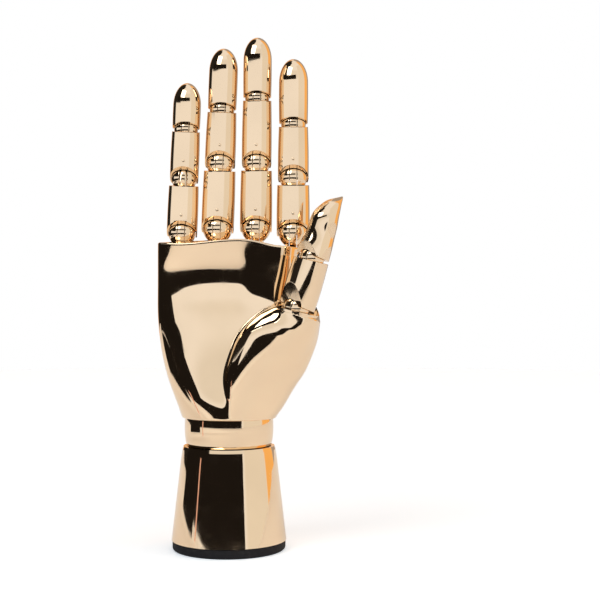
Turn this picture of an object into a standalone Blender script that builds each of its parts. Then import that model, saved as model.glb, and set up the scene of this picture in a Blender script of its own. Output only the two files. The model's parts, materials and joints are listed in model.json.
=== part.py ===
"""Articulated hand stand for rings and bracelets: plated fingers, thumb and palm on a tapered forearm.

Metres, +Z up. The origin is the middle of the pad's underside. The palm faces -Y and the thumb is at +X.
"""

import math

import bmesh
import bpy
from mathutils import Matrix, Vector

MM = 0.001

# Fits between the pieces
SOCKET_GAP = 0.4 * MM  # ball to socket, all round
SEAT_GAP = 0.3 * MM  # faces that touch on the real stand
AXLE_GAP = 0.35 * MM  # axle to the eye that turns on it
BRAD_GAP = 0.3 * MM
PAST = 2.0 * MM  # how far a cutter runs past what it cuts

# Finger joints: a slotted ball with an axle, and an eye link that turns in the slot
SLOT_WIDTH = 4.0 * MM
EYE_THICKNESS = 3.4 * MM
EYE_INSET = 0.1 * MM  # the eye's corners below the ball's surface
AXLE_RADIUS = 1.0 * MM
EYE_ROOM = 0.35 * MM  # between the eye's edge and the tenon below the ball
TENON_THICKNESS = 3.2 * MM  # the tenon holds a ball in the piece below it
TENON_LENGTH = 3.6 * MM  # below the ball
SHANK_RADIUS = 1.9 * MM  # the link's tail in the piece above it
SHANK_LENGTH = 5.0 * MM  # above the ball
BRAD_RADIUS = 0.75 * MM
BRAD_DEPTH = 3.5 * MM  # how far a brad runs past the finger's middle
BRAD_SINK = 0.15 * MM
CROWN = 0.2 * MM  # how much a phalanx swells at mid length
SPREAD_ROOM = 2.8 * MM  # room beside a knuckle's tenon for its sideways swing
SOCKET_RIM = math.radians(9)  # a socket's edge stands this far past the ball's middle
TENON_ROOT = 0.7  # where the tenon starts inside the ball, as a share of its radius
MORTISE_ROOT = 0.6
SHANK_ROOT = 0.6
BORE_ROOT = 0.5
AXLE_SHARE = 0.8  # the axle's half length, as a share of the ball's radius

# Where the two pieces at a joint are cut back, measured at its sides, and how steeply
UPPER_CUT = 2.0 * MM
LOWER_CUT = 3.6 * MM
TIP_UPPER_CUT = 1.5 * MM
TIP_LOWER_CUT = 1.6 * MM
UPPER_SLOPE = math.radians(16)
LOWER_SLOPE = math.radians(15)

# Fingers: place of the knuckle, lean towards the thumb, then lengths and radii from knuckle to tip
FINGERS = {
    "little": {
        "x": -23.5 * MM,
        "z": 154.2 * MM,
        "lean": math.radians(2.3),
        "lengths": (26.8 * MM, 24.0 * MM, 22.8 * MM),
        "radii": (7.6 * MM, 7.1 * MM, 6.75 * MM),
        "balls": (6.6 * MM, 6.2 * MM, 5.8 * MM),
    },
    "ring": {
        "x": -6.1 * MM,
        "z": 156.2 * MM,
        "lean": math.radians(2.2),
        "lengths": (32.1 * MM, 26.2 * MM, 30.2 * MM),
        "radii": (8.1 * MM, 7.6 * MM, 7.0 * MM),
        "balls": (7.1 * MM, 6.6 * MM, 6.0 * MM),
    },
    "middle": {
        "x": 12.7 * MM,
        "z": 156.5 * MM,
        "lean": math.radians(0.6),
        "lengths": (32.0 * MM, 31.7 * MM, 29.8 * MM),
        "radii": (8.0 * MM, 7.4 * MM, 6.9 * MM),
        "balls": (7.1 * MM, 6.5 * MM, 5.9 * MM),
    },
    "index": {
        "x": 30.9 * MM,
        "z": 154.5 * MM,
        "lean": math.radians(0.2),
        "lengths": (26.9 * MM, 26.0 * MM, 32.1 * MM),
        "radii": (8.2 * MM, 7.7 * MM, 7.1 * MM),
        "balls": (7.2 * MM, 6.7 * MM, 6.0 * MM),
    },
}

# Thumb: where its base ball sits, its lean to the side, and where its pad faces (0 is -X, 90 is -Y)
THUMB_BASE = Vector((32.7 * MM, -16.8 * MM, 117.5 * MM))
THUMB_LEAN = math.radians(16.7)
THUMB_PAD_TURN = math.radians(45)
THUMB_LENGTH = 25.0 * MM  # base ball to tip joint
THUMB_BASE_BALL = 6.4 * MM
THUMB_TIP_BALL = 6.0 * MM
THUMB_RADIUS_LOW = 8.8 * MM
THUMB_RADIUS_HIGH = 8.4 * MM
THUMB_CUT = 0.9 * MM  # the two pieces at a thumb joint stand back from it by this, at its sides
THUMB_SLOPE = math.radians(4)
# The notch in the pad side of each thumb joint, where its plane crosses the axis, and how steep it is
THUMB_BASE_NOTCH = -9.3 * MM
THUMB_BASE_NOTCH_SLOPE = math.radians(66.8)
THUMB_TIP_NOTCH = -7.5 * MM
THUMB_TIP_NOTCH_SLOPE = math.radians(62.8)
# Height above the tip joint, then how far the pad side and the nail side stand from the axis, and half width
THUMB_TIP_SECTIONS = (
    (-1.0 * MM, 8.3 * MM, 8.3 * MM, 8.3 * MM),
    (6.9 * MM, 7.5 * MM, 8.4 * MM, 7.9 * MM),
    (13.4 * MM, 6.4 * MM, 8.2 * MM, 7.1 * MM),
    (18.0 * MM, 6.1 * MM, 7.8 * MM, 6.8 * MM),
    (21.4 * MM, 5.4 * MM, 7.3 * MM, 6.3 * MM),
    (26.5 * MM, 2.0 * MM, 7.2 * MM, 4.8 * MM),
    (29.7 * MM, -1.6 * MM, 7.5 * MM, 3.2 * MM),
    (31.4 * MM, -5.8 * MM, 8.2 * MM, 1.2 * MM),
)

# Palm, from the wrist up: height, left, right, front, back, and squareness of the section (2 is an ellipse)
PALM_SECTIONS = (
    (65.0 * MM, -23.5 * MM, 22.8 * MM, -23.4 * MM, 23.4 * MM, 2.0),
    (72.5 * MM, -26.2 * MM, 25.6 * MM, -22.6 * MM, 23.0 * MM, 2.1),
    (81.0 * MM, -29.4 * MM, 28.2 * MM, -20.2 * MM, 21.4 * MM, 2.2),
    (91.0 * MM, -32.2 * MM, 29.8 * MM, -17.4 * MM, 18.8 * MM, 2.3),
    (103.0 * MM, -34.2 * MM, 30.4 * MM, -15.0 * MM, 16.2 * MM, 2.5),
    (116.0 * MM, -35.2 * MM, 30.4 * MM, -13.0 * MM, 14.2 * MM, 2.7),
    (126.0 * MM, -35.2 * MM, 30.4 * MM, -11.7 * MM, 13.1 * MM, 2.8),
    (133.5 * MM, -35.0 * MM, 31.0 * MM, -11.2 * MM, 12.4 * MM, 2.9),
    (141.0 * MM, -34.7 * MM, 32.8 * MM, -12.0 * MM, 11.7 * MM, 3.0),
    (147.0 * MM, -34.3 * MM, 36.2 * MM, -12.8 * MM, 11.0 * MM, 3.0),
    (152.0 * MM, -33.9 * MM, 38.6 * MM, -13.2 * MM, 10.6 * MM, 3.1),
)
# The palm's top edge, as (x, z)
PALM_TOP = (
    (-34.0 * MM, 149.2 * MM),
    (-23.5 * MM, 148.6 * MM),
    (-6.1 * MM, 150.0 * MM),
    (4.0 * MM, 150.6 * MM),
    (12.7 * MM, 150.0 * MM),
    (21.0 * MM, 148.0 * MM),
    (30.9 * MM, 147.2 * MM),
    (39.0 * MM, 146.2 * MM),
)
# A line inside the hand, as (z, x), from which its outline is looked for
PALM_CORE = (
    (65.0 * MM, 4.0 * MM),
    (117.5 * MM, 19.6 * MM),
    (152.0 * MM, 19.6 * MM),
)
PALM_CORE_Y = -5.0 * MM
PALM_REACH = 60.0 * MM  # past everything, seen from that line
PALM_SEARCH = 1.0 * MM
SEARCH_STEPS = 12  # halvings of the last search distance
RAY_STRETCH = 2.0  # the rays crowd towards the palm's narrow sides
PALM_STEPS = 16  # rings from the wrist to the top edge
PALM_TURN_STEPS = 40  # round each ring

# The thumb's muscle is what a steep-walled form and a tapering form have in common
# Height, left, right and front of the steep-walled form
LOBE_WALL = (
    (62.0 * MM, -0.5 * MM, 46.0 * MM, -27.0 * MM),
    (80.0 * MM, -2.4 * MM, 46.0 * MM, -27.0 * MM),
    (88.0 * MM, -1.6 * MM, 46.0 * MM, -27.1 * MM),
    (95.0 * MM, 0.6 * MM, 46.0 * MM, -27.2 * MM),
    (102.0 * MM, 3.4 * MM, 46.0 * MM, -27.2 * MM),
    (108.0 * MM, 7.2 * MM, 45.6 * MM, -27.0 * MM),
    (113.0 * MM, 12.0 * MM, 44.6 * MM, -25.6 * MM),
    (117.0 * MM, 17.5 * MM, 43.2 * MM, -22.8 * MM),
    (120.0 * MM, 24.0 * MM, 41.0 * MM, -18.4 * MM),
    (122.0 * MM, 29.0 * MM, 38.0 * MM, -14.0 * MM),
)
LOBE_WALL_SQUARENESS = 3.0
# Height, half width and front of the tapering form
LOBE_TAPER = (
    (62.0 * MM, 20.0 * MM, -23.0 * MM),
    (66.3 * MM, 23.6 * MM, -23.5 * MM),
    (72.7 * MM, 27.9 * MM, -24.8 * MM),
    (80.0 * MM, 32.2 * MM, -26.3 * MM),
    (86.0 * MM, 36.2 * MM, -27.4 * MM),
    (92.8 * MM, 39.4 * MM, -28.8 * MM),
    (102.0 * MM, 42.6 * MM, -31.6 * MM),
    (109.4 * MM, 43.7 * MM, -35.4 * MM),
    (122.0 * MM, 43.8 * MM, -46.0 * MM),
)
LOBE_TAPER_SQUARENESS = 2.0
LOBE_BACK = 10.0 * MM
CUP_RADIUS = 11.0 * MM
CUP_LENGTH = 30.0 * MM
CUP_STRAIGHT = 10.0 * MM
CUP_TOE_RADIUS = 6.6 * MM
CUP_TOE_LENGTH = 6.0 * MM  # the last stretch, where it closes inside the palm
THUMB_ROOM = 0.6 * MM  # the palm is cut back round the thumb's foot, this far past the cup
THUMB_ROOM_HEIGHT = 8.0 * MM

# Wrist: a barrel-sided ball between the palm and the forearm
WRIST_X = -0.4 * MM
WRIST_Z = 59.5 * MM
NECK_BALL = 22.2 * MM
NECK_RADIUS = 21.3 * MM
NECK_SLOT_WIDTH = 6.6 * MM
NECK_SLOT_HALF = 14.0 * MM
NECK_SLOT_DEPTH = 12.5 * MM  # floor of the slot below the ball's centre
WRIST_EYE_RADIUS = 8.0 * MM
WRIST_EYE_THICKNESS = 6.0 * MM
WRIST_PIN_RADIUS = 2.5 * MM
WRIST_PIN_HALF = 16.0 * MM
WRIST_SHANK_RADIUS = 3.0 * MM
WRIST_SHANK_LENGTH = 14.0 * MM  # inside the palm

# Forearm and what it holds
PAD_HEIGHT = 4.5 * MM
PAD_ROUND = 0.8 * MM
FOREARM_FOOT_RADIUS = 28.0 * MM
PAD_RADIUS = FOREARM_FOOT_RADIUS - 0.5 * MM
FOREARM_SHOULDER_RADIUS = 23.6 * MM
FOREARM_SHOULDER_Z = 43.5 * MM
FOREARM_TOP_RADIUS = 22.3 * MM
FOREARM_TOP_Z = 50.5 * MM
FOREARM_LIP = 0.45 * MM  # the rounded step below the top edge
FOREARM_LIP_HEIGHT = 1.6 * MM
COUNTERBORE_RADIUS = 8.0 * MM
COUNTERBORE_TOP = 26.0 * MM
BOLT_RADIUS = 2.5 * MM
BOLT_HEAD = Vector((6.0 * MM, 12.0 * MM, 3.4 * MM))
BOLT_END = 7.5 * MM
NUT_RADIUS = 4.6 * MM
NUT_TOP = 14.5 * MM
NUT_BOTTOM = 9.0 * MM
FLANGE_RADIUS = 6.8 * MM
FLANGE_THICKNESS = 1.4 * MM
SPRING_RADIUS = 5.2 * MM
SPRING_WIRE = 0.7 * MM
SPRING_TURNS = 4
SPRING_POINTS = 8  # in one turn

# Facets
TURN_STEPS = 16
WIDE_TURN_STEPS = 24
BALL_RINGS = 8
ARC_STEPS = 3
WIDE_ARC_STEPS = 5
DOME_STEPS = 4
BALL_FACET_RINGS = 6
PIN_STEPS = 16
PIN_SIDES = 8


def clear_scene():
    for old in list(bpy.data.objects):
        bpy.data.objects.remove(old)


def new_collection(name):
    made = bpy.data.collections.new(name)
    bpy.context.scene.collection.children.link(made)
    return made


def new_material(name, colour, metallic, roughness):
    made = bpy.data.materials.new(name)
    made.use_nodes = True
    made.diffuse_color = (*colour, 1.0)
    shader = made.node_tree.nodes["Principled BSDF"]
    shader.inputs["Base Color"].default_value = (*colour, 1.0)
    shader.inputs["Metallic"].default_value = metallic
    shader.inputs["Roughness"].default_value = roughness
    return made


clear_scene()
PARTS = new_collection("hand_jewelry_stand")
CUTTERS = new_collection("cutters")


def plated(name):
    return new_material(name + "_plating", (0.95, 0.80, 0.62), 1.0, 0.06)


def steel(name):
    return new_material(name + "_steel", (0.62, 0.62, 0.62), 1.0, 0.35)


def rubber(name):
    return new_material(name + "_rubber", (0.02, 0.02, 0.02), 0.0, 0.7)


def new_empty(name, location, rotation=Matrix.Identity(4), parent=None):
    made = bpy.data.objects.new(name, None)
    made.empty_display_size = 5 * MM
    made.parent = parent
    made.matrix_local = Matrix.Translation(location) @ rotation
    PARTS.objects.link(made)
    return made


def add_object(name, mesh, material=None, parent=None, place=Matrix.Identity(4)):
    """A sub-part if it has a material, otherwise a cutter."""
    made = bpy.data.objects.new(name, mesh)
    made.parent = parent
    made.matrix_local = place
    if material is None:
        made.hide_render = True
        made.display_type = "WIRE"
        CUTTERS.objects.link(made)
    else:
        mesh.materials.append(material)
        PARTS.objects.link(made)
    return made


def mesh_from(bm, name, smooth=True):
    mesh = bpy.data.meshes.new(name)
    bm.to_mesh(mesh)
    bm.free()
    if smooth:
        mesh.shade_smooth()
        mesh.set_sharp_from_angle(angle=math.radians(40))
    return mesh


def sphere_mesh(name, radius, segments=TURN_STEPS, rings=BALL_RINGS):
    bm = bmesh.new()
    bmesh.ops.create_uvsphere(bm, u_segments=segments, v_segments=rings, radius=radius)
    return mesh_from(bm, name)


def cylinder_mesh(name, radius, low, high, axis="Z", sides=PIN_SIDES):
    """A cylinder along an axis, from low to high."""
    bm = bmesh.new()
    bmesh.ops.create_cone(bm, cap_ends=True, segments=sides, radius1=radius, radius2=radius, depth=high - low)
    bmesh.ops.translate(bm, verts=bm.verts, vec=(0, 0, (low + high) / 2))
    turns = {"X": Matrix.Rotation(math.pi / 2, 4, "Y"), "Y": Matrix.Rotation(-math.pi / 2, 4, "X")}
    if axis in turns:
        bmesh.ops.transform(bm, matrix=turns[axis], verts=bm.verts)
    return mesh_from(bm, name)


def box_mesh(name, low, high):
    bm = bmesh.new()
    bmesh.ops.create_cube(bm, size=1)
    low = Vector(low)
    high = Vector(high)
    bmesh.ops.scale(bm, vec=high - low, verts=bm.verts)
    bmesh.ops.translate(bm, vec=(low + high) / 2, verts=bm.verts)
    return mesh_from(bm, name, smooth=False)


def turned_mesh(name, profile):
    """The profile's points are (radius, height), from the top down the outer side."""
    mesh = bpy.data.meshes.new(name)
    points = [(radius, 0, height) for radius, height in profile]
    mesh.from_pydata(points, [(i, i + 1) for i in range(len(points) - 1)], [])
    return mesh


def add_turned(name, profile, material=None, parent=None, place=Matrix.Identity(4), steps=TURN_STEPS):
    made = add_object(name, turned_mesh(name, profile), material, parent, place)
    screw = made.modifiers.new("turn", "SCREW")
    screw.steps = steps
    screw.render_steps = steps
    screw.use_merge_vertices = True
    screw.merge_threshold = 0.00001
    screw.use_smooth_shade = True
    return made


def combine(target, other, operation):
    made = target.modifiers.new(operation.lower(), "BOOLEAN")
    made.operation = operation
    made.object = other
    made.solver = "EXACT"


def cut(target, cutter):
    combine(target, cutter, "DIFFERENCE")


def join(target, other):
    combine(target, other, "UNION")


def arc(radius, start, end, steps=ARC_STEPS, centre=0.0):
    """Points (radius, height) of an arc round the axis; an angle of 0 is straight up."""
    angles = [start + (end - start) * i / steps for i in range(steps + 1)]
    return [(abs(radius * math.sin(a)), centre + radius * math.cos(a)) for a in angles]


def add_plane_cutter(name, height, slope, above, reach, parent):
    """A block whose one face is a plane through the axis at height, tilted by slope."""
    low, high = (0, reach) if above else (-reach, 0)
    mesh = box_mesh(name, (-reach, -reach, low), (reach, reach, high))
    place = Matrix.Translation((0, 0, height)) @ Matrix.Rotation(slope, 4, "X")
    return add_object(name, mesh, parent=parent, place=place)


def tenon_half_width(radius):
    return SLOT_WIDTH / 2 + radius / 4


def add_ball(name, radius, parent):
    """A slotted ball with its axle, on a forked tenon that fits the piece below."""
    sphere = sphere_mesh(name, radius, rings=BALL_FACET_RINGS)
    sphere.transform(Matrix.Rotation(math.pi / 2, 4, "Y"))
    ball = add_object(name, sphere, plated(name), parent)
    width = tenon_half_width(radius)
    thick = TENON_THICKNESS / 2
    low = (-width, -thick, -radius - TENON_LENGTH)
    tenon = box_mesh(name + "_tenon", low, (width, thick, -radius * TENON_ROOT))
    join(ball, add_object(tenon.name, tenon, parent=parent))
    half = SLOT_WIDTH / 2
    slot = cylinder_mesh(name + "_slot", radius + EYE_ROOM - EYE_INSET, -half, half, "X", TURN_STEPS)
    cut(ball, add_object(slot.name, slot, parent=parent))
    reach = radius * AXLE_SHARE
    axle = cylinder_mesh(name + "_axle", AXLE_RADIUS, -reach, reach, "X")
    join(ball, add_object(axle.name, axle, parent=parent))
    return ball


def cut_mortise(target, name, radius, parent, room=0.0):
    """The hole for a ball's tenon, with room beside it where the ball swings sideways."""
    tenon = tenon_half_width(radius)
    width = tenon + SEAT_GAP + room
    thick = TENON_THICKNESS / 2 + SEAT_GAP
    depth = radius + TENON_LENGTH
    if room:
        depth = math.hypot(depth, tenon)
    mesh = box_mesh(name, (-width, -thick, -depth - SEAT_GAP), (width, thick, -radius * MORTISE_ROOT))
    cut(target, add_object(name, mesh, parent=parent))


def add_link(name, radius, parent, brad_height=None):
    """An eye on the ball's axle, and its tail in the piece above."""
    half = EYE_THICKNESS / 2
    eye_radius = math.sqrt(radius**2 - half**2) - EYE_INSET
    eye = cylinder_mesh(name, eye_radius, -half, half, "X", TURN_STEPS)
    link = add_object(name, eye, steel(name), parent)
    shank = cylinder_mesh(name + "_shank", SHANK_RADIUS, radius * SHANK_ROOT, radius + SHANK_LENGTH)
    join(link, add_object(shank.name, shank, parent=parent))
    hole = cylinder_mesh(name + "_hole", AXLE_RADIUS + AXLE_GAP, -SLOT_WIDTH, SLOT_WIDTH, "X")
    cut(link, add_object(hole.name, hole, parent=parent))
    if brad_height is not None:
        brad_hole = cylinder_mesh(name + "_brad_hole", BRAD_RADIUS + BRAD_GAP, -SLOT_WIDTH, SLOT_WIDTH, "Y")
        place = Matrix.Translation((0, 0, brad_height))
        cut(link, add_object(brad_hole.name, brad_hole, parent=parent, place=place))
    return link


def brad_height_above(ball):
    """Just above the socket that the ball sits in, so that the brad misses the ball."""
    return ball + SOCKET_GAP + BRAD_RADIUS + 2 * BRAD_GAP


def cut_shank_bore(target, name, ball, parent):
    top = ball + SHANK_LENGTH + SEAT_GAP
    bore = cylinder_mesh(name, SHANK_RADIUS + SEAT_GAP, ball * BORE_ROOT, top)
    cut(target, add_object(name, bore, parent=parent))


def add_brad(name, radius, height, segment, parent):
    """A small nail from the palm side through the phalanx and the link's tail."""
    place = Matrix.Translation((0, 0, height))
    hole = cylinder_mesh(name + "_bore", BRAD_RADIUS + BRAD_GAP, -radius - PAST, BRAD_DEPTH + SEAT_GAP, "Y")
    cut(segment, add_object(hole.name, hole, parent=parent, place=place))
    head = -radius + BRAD_SINK
    mesh = cylinder_mesh(name, BRAD_RADIUS, head, BRAD_DEPTH, "Y")
    return add_object(name, mesh, steel(name), parent, place)


def phalanx_profile(length, low_radius, high_radius, low_ball, high_ball):
    """From the bottom of the upper socket out, down the side, and up into the lower socket."""
    upper = high_ball + SOCKET_GAP
    lower = low_ball + SOCKET_GAP
    rim = math.pi / 2 + SOCKET_RIM
    points = arc(upper, math.pi, rim, ARC_STEPS, length)
    points += [(high_radius - CROWN, points[-1][1]), ((low_radius + high_radius) / 2, length / 2)]
    points += [(low_radius - CROWN, lower * math.cos(rim))]
    points += arc(lower, rim, 0, ARC_STEPS + 1)
    return points


def fingertip_profile(length, radius, low_ball):
    """A domed tip over a lower socket."""
    lower = low_ball + SOCKET_GAP
    rim = math.pi / 2 + SOCKET_RIM
    points = arc(radius, 0, math.pi / 2, DOME_STEPS, length - radius)
    points += [(radius, length / 3), (radius - CROWN, lower * math.cos(rim))]
    points += arc(lower, rim, 0, ARC_STEPS + 1)
    return points


def cut_lower_end(target, name, cut_height, reach, parent):
    cut(target, add_plane_cutter(name, cut_height, -UPPER_SLOPE, False, reach, parent))


def cut_upper_end(target, name, cut_depth, reach, parent):
    """The rim round the ball above, cut back towards the palm side."""
    cut(target, add_plane_cutter(name, -cut_depth, LOWER_SLOPE, True, reach, parent))


def add_joint(finger, joint, ball, empty, lower_piece, cut_depth, reach, room=0.0, brad=True):
    """The ball, its link, and the seat for the ball in the piece below."""
    name = f"{finger}_{joint}"
    add_ball(name + "_ball", ball, empty)
    height = brad_height_above(ball) if brad else None
    add_link(name + "_link", ball, empty, height)
    if cut_depth:
        cut_upper_end(lower_piece, name + "_rim", cut_depth, reach, empty)
    cut_mortise(lower_piece, name + "_mortise", ball, empty, room)


def add_finger(finger, size, palm):
    radii = size["radii"]
    balls = size["balls"]
    lengths = size["lengths"]
    lean = Matrix.Rotation(size["lean"], 4, "Y")
    knuckle = new_empty(finger + "_knuckle", (size["x"], 0, size["z"]), lean)
    middle = new_empty(finger + "_middle", (0, 0, lengths[0]), parent=knuckle)
    tip = new_empty(finger + "_tip", (0, 0, lengths[1]), parent=middle)
    reach = 2 * radii[0]

    socket = sphere_mesh(finger + "_knuckle_socket", balls[0] + SOCKET_GAP)
    cut(palm, add_object(socket.name, socket, parent=knuckle))
    add_joint(finger, "knuckle", balls[0], knuckle, palm, 0, reach, SPREAD_ROOM)

    name = finger + "_proximal"
    profile = phalanx_profile(lengths[0], radii[0], radii[1] + CROWN, balls[0], balls[1])
    proximal = add_turned(name, profile, plated(name), knuckle)
    cut_lower_end(proximal, name + "_arch", UPPER_CUT, reach, knuckle)
    cut_shank_bore(proximal, name + "_bore", balls[0], knuckle)
    add_brad(finger + "_proximal_brad", radii[0], brad_height_above(balls[0]), proximal, knuckle)
    add_joint(finger, "middle", balls[1], middle, proximal, LOWER_CUT, reach)

    name = finger + "_intermediate"
    profile = phalanx_profile(lengths[1], radii[1], radii[2] + CROWN, balls[1], balls[2])
    intermediate = add_turned(name, profile, plated(name), middle)
    cut_lower_end(intermediate, name + "_arch", UPPER_CUT, reach, middle)
    cut_shank_bore(intermediate, name + "_bore", balls[1], middle)
    add_brad(finger + "_intermediate_brad", radii[1], brad_height_above(balls[1]), intermediate, middle)
    add_joint(finger, "tip", balls[2], tip, intermediate, TIP_LOWER_CUT, reach, brad=False)

    name = finger + "_distal"
    distal = add_turned(name, fingertip_profile(lengths[2], radii[2], balls[2]), plated(name), tip)
    cut_lower_end(distal, name + "_arch", TIP_UPPER_CUT, reach, tip)
    cut_shank_bore(distal, name + "_bore", balls[2], tip)


def superellipse_ring(count, left, right, front, back, squareness):
    """Points round a closed section that is a superellipse, as (x, y), anticlockwise from +X."""
    points = []
    for i in range(count):
        angle = 2 * math.pi * (i + 0.5) / count
        across = math.copysign(abs(math.cos(angle)) ** (2 / squareness), math.cos(angle))
        along = math.copysign(abs(math.sin(angle)) ** (2 / squareness), math.sin(angle))
        x = (left + right) / 2 + across * (right - left) / 2
        y = (front + back) / 2 + along * (back - front) / 2
        points.append((x, y))
    return points


def loft(name, rings):
    """A closed skin over rings that all have the same even number of points, capped across their halves."""
    bm = bmesh.new()
    levels = [[bm.verts.new(point) for point in ring] for ring in rings]
    count = len(levels[0])
    for low, high in zip(levels, levels[1:]):
        for i in range(count):
            bm.faces.new((low[i], low[(i + 1) % count], high[(i + 1) % count], high[i]))
    half = count // 2
    for ring, flip in ((levels[0], True), (levels[-1], False)):
        for i in range(half - 1):
            quad = [ring[i], ring[i + 1], ring[count - 2 - i], ring[count - 1 - i]]
            corners = list(dict.fromkeys(quad))
            bm.faces.new(corners[::-1] if flip else corners)
    bmesh.ops.recalc_face_normals(bm, faces=bm.faces)
    bmesh.ops.triangulate(bm, faces=bm.faces)
    return mesh_from(bm, name)


def between(rows, height):
    """The numbers of the row at that height, read between the rows above and below it."""
    if height <= rows[0][0]:
        return rows[0][1:]
    for low, high in zip(rows, rows[1:]):
        if height <= high[0]:
            share = (height - low[0]) / (high[0] - low[0])
            return tuple(a + share * (b - a) for a, b in zip(low[1:], high[1:]))
    return rows[-1][1:]


def section_gap(x, y, left, right, front, back, squareness):
    """How far a point stands outside a superellipse; below 0 is inside."""
    across = abs(x - (left + right) / 2) / ((right - left) / 2)
    along = abs(y - (front + back) / 2) / ((back - front) / 2)
    return ((across**squareness + along**squareness) ** (1 / squareness) - 1) * (back - front) / 2


def hand_gap(x, y, z):
    """How far a point stands outside the flat of the hand and the thumb's lobe."""
    palm = section_gap(x, y, *between(PALM_SECTIONS, z))
    if z > LOBE_WALL[-1][0]:
        return palm
    left, right, front = between(LOBE_WALL, z)
    wall = section_gap(x, y, left, right, front, LOBE_BACK, LOBE_WALL_SQUARENESS)
    half, front = between(LOBE_TAPER, z)
    taper = section_gap(x, y, -half, half, front, LOBE_BACK, LOBE_TAPER_SQUARENESS)
    return min(palm, max(wall, taper))


def outline_point(angle, z):
    """Where a ray from inside the hand leaves it for the last time."""
    start = Vector((between(PALM_CORE, z)[0], PALM_CORE_Y))
    way = Vector((RAY_STRETCH * math.cos(angle), math.sin(angle))).normalized()
    low = PALM_REACH
    while hand_gap(*(start + way * low), z) > 0:
        low -= PALM_SEARCH
    high = low + PALM_SEARCH
    for _ in range(SEARCH_STEPS):
        middle = (low + high) / 2
        if hand_gap(*(start + way * middle), z) < 0:
            low = middle
        else:
            high = middle
    return start + way * low


def palm_rings():
    angles = [2 * math.pi * (i + 0.5) / PALM_TURN_STEPS for i in range(PALM_TURN_STEPS)]
    tops = []
    for angle in angles:
        x, y = outline_point(angle, PALM_TOP[0][1])
        tops.append(between(PALM_TOP, x)[0])
    bottom = PALM_SECTIONS[0][0]
    rings = []
    for step in range(PALM_STEPS + 1):
        ring = []
        for angle, top in zip(angles, tops):
            z = bottom + (top - bottom) * step / PALM_STEPS
            ring.append((*outline_point(angle, z), z))
        rings.append(ring)
    return rings


def thumb_frame():
    """X is the thumb's hinge axis, -Y the way its pad faces, and Z its length."""
    along = Vector((math.sin(THUMB_LEAN), 0, math.cos(THUMB_LEAN)))
    pad = Vector((-math.cos(THUMB_PAD_TURN), -math.sin(THUMB_PAD_TURN), 0))
    pad = (pad - along * pad.dot(along)).normalized()
    hinge = along.cross(pad)
    return Matrix((hinge, -pad, along)).transposed().to_4x4()


def add_palm(thumb):
    """The flat of the hand with the thumb's lobe and cup, before its sockets are cut."""
    palm = add_object("palm", loft("palm", palm_rings()), plated("palm"))
    profile = [(0, PAST), (CUP_RADIUS, PAST), (CUP_RADIUS, -CUP_STRAIGHT)]
    profile += [(CUP_TOE_RADIUS, CUP_TOE_LENGTH - CUP_LENGTH), (0, -CUP_LENGTH)]
    join(palm, add_turned("palm_cup", profile, parent=thumb, steps=WIDE_TURN_STEPS))
    room = cylinder_mesh("thumb_room", CUP_RADIUS + THUMB_ROOM, 0, THUMB_ROOM_HEIGHT, sides=WIDE_TURN_STEPS)
    place = Matrix.Translation((0, 0, -THUMB_CUT)) @ Matrix.Rotation(THUMB_SLOPE, 4, "X")
    cut(palm, add_object("thumb_room", room, parent=thumb, place=place))
    return palm


def add_thumb_tip(name, parent):
    """A loft from the round joint over the broad pad to the tip at the nail side."""
    rings = []
    for height, pad, nail, half in THUMB_TIP_SECTIONS:
        flat = superellipse_ring(TURN_STEPS, -half, half, -pad, nail, 2.0)
        rings.append([(x, y, height) for x, y in flat])
    return add_object(name, loft(name, rings), plated(name), parent)


def cut_notch(target, name, height, slope, parent):
    """The steep notch in the pad side of a thumb joint, which shows the ball and lets the thumb bend."""
    cut(target, add_plane_cutter(name, height, -slope, False, 4 * THUMB_RADIUS_LOW, parent))


def add_thumb(thumb, palm):
    tip = new_empty("thumb_tip", (0, 0, THUMB_LENGTH), parent=thumb)
    reach = 2 * THUMB_RADIUS_LOW

    socket = sphere_mesh("thumb_base_socket", THUMB_BASE_BALL + SOCKET_GAP)
    cut(palm, add_object(socket.name, socket, parent=thumb))
    add_joint("thumb", "base", THUMB_BASE_BALL, thumb, palm, 0, reach, SPREAD_ROOM, brad=False)

    name = "thumb_proximal"
    radii = (THUMB_RADIUS_LOW, THUMB_RADIUS_HIGH)
    profile = phalanx_profile(THUMB_LENGTH, *radii, THUMB_BASE_BALL, THUMB_TIP_BALL)
    proximal = add_turned(name, profile, plated(name), thumb)
    cut(proximal, add_plane_cutter(name + "_end", THUMB_CUT, -THUMB_SLOPE, False, reach, thumb))
    cut_notch(proximal, name + "_notch", THUMB_BASE_NOTCH, THUMB_BASE_NOTCH_SLOPE, thumb)
    cut_shank_bore(proximal, name + "_bore", THUMB_BASE_BALL, thumb)
    cut(proximal, add_plane_cutter("thumb_tip_rim", -THUMB_CUT, THUMB_SLOPE, True, reach, tip))
    add_joint("thumb", "tip", THUMB_TIP_BALL, tip, proximal, 0, reach, brad=False)

    distal = add_thumb_tip("thumb_distal", tip)
    socket = sphere_mesh("thumb_distal_socket", THUMB_TIP_BALL + SOCKET_GAP)
    cut(distal, add_object(socket.name, socket, parent=tip))
    cut(distal, add_plane_cutter("thumb_distal_end", THUMB_CUT, -THUMB_SLOPE, False, reach, tip))
    cut_notch(distal, "thumb_distal_notch", THUMB_TIP_NOTCH, THUMB_TIP_NOTCH_SLOPE, tip)
    cut_shank_bore(distal, "thumb_distal_bore", THUMB_TIP_BALL, tip)


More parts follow.
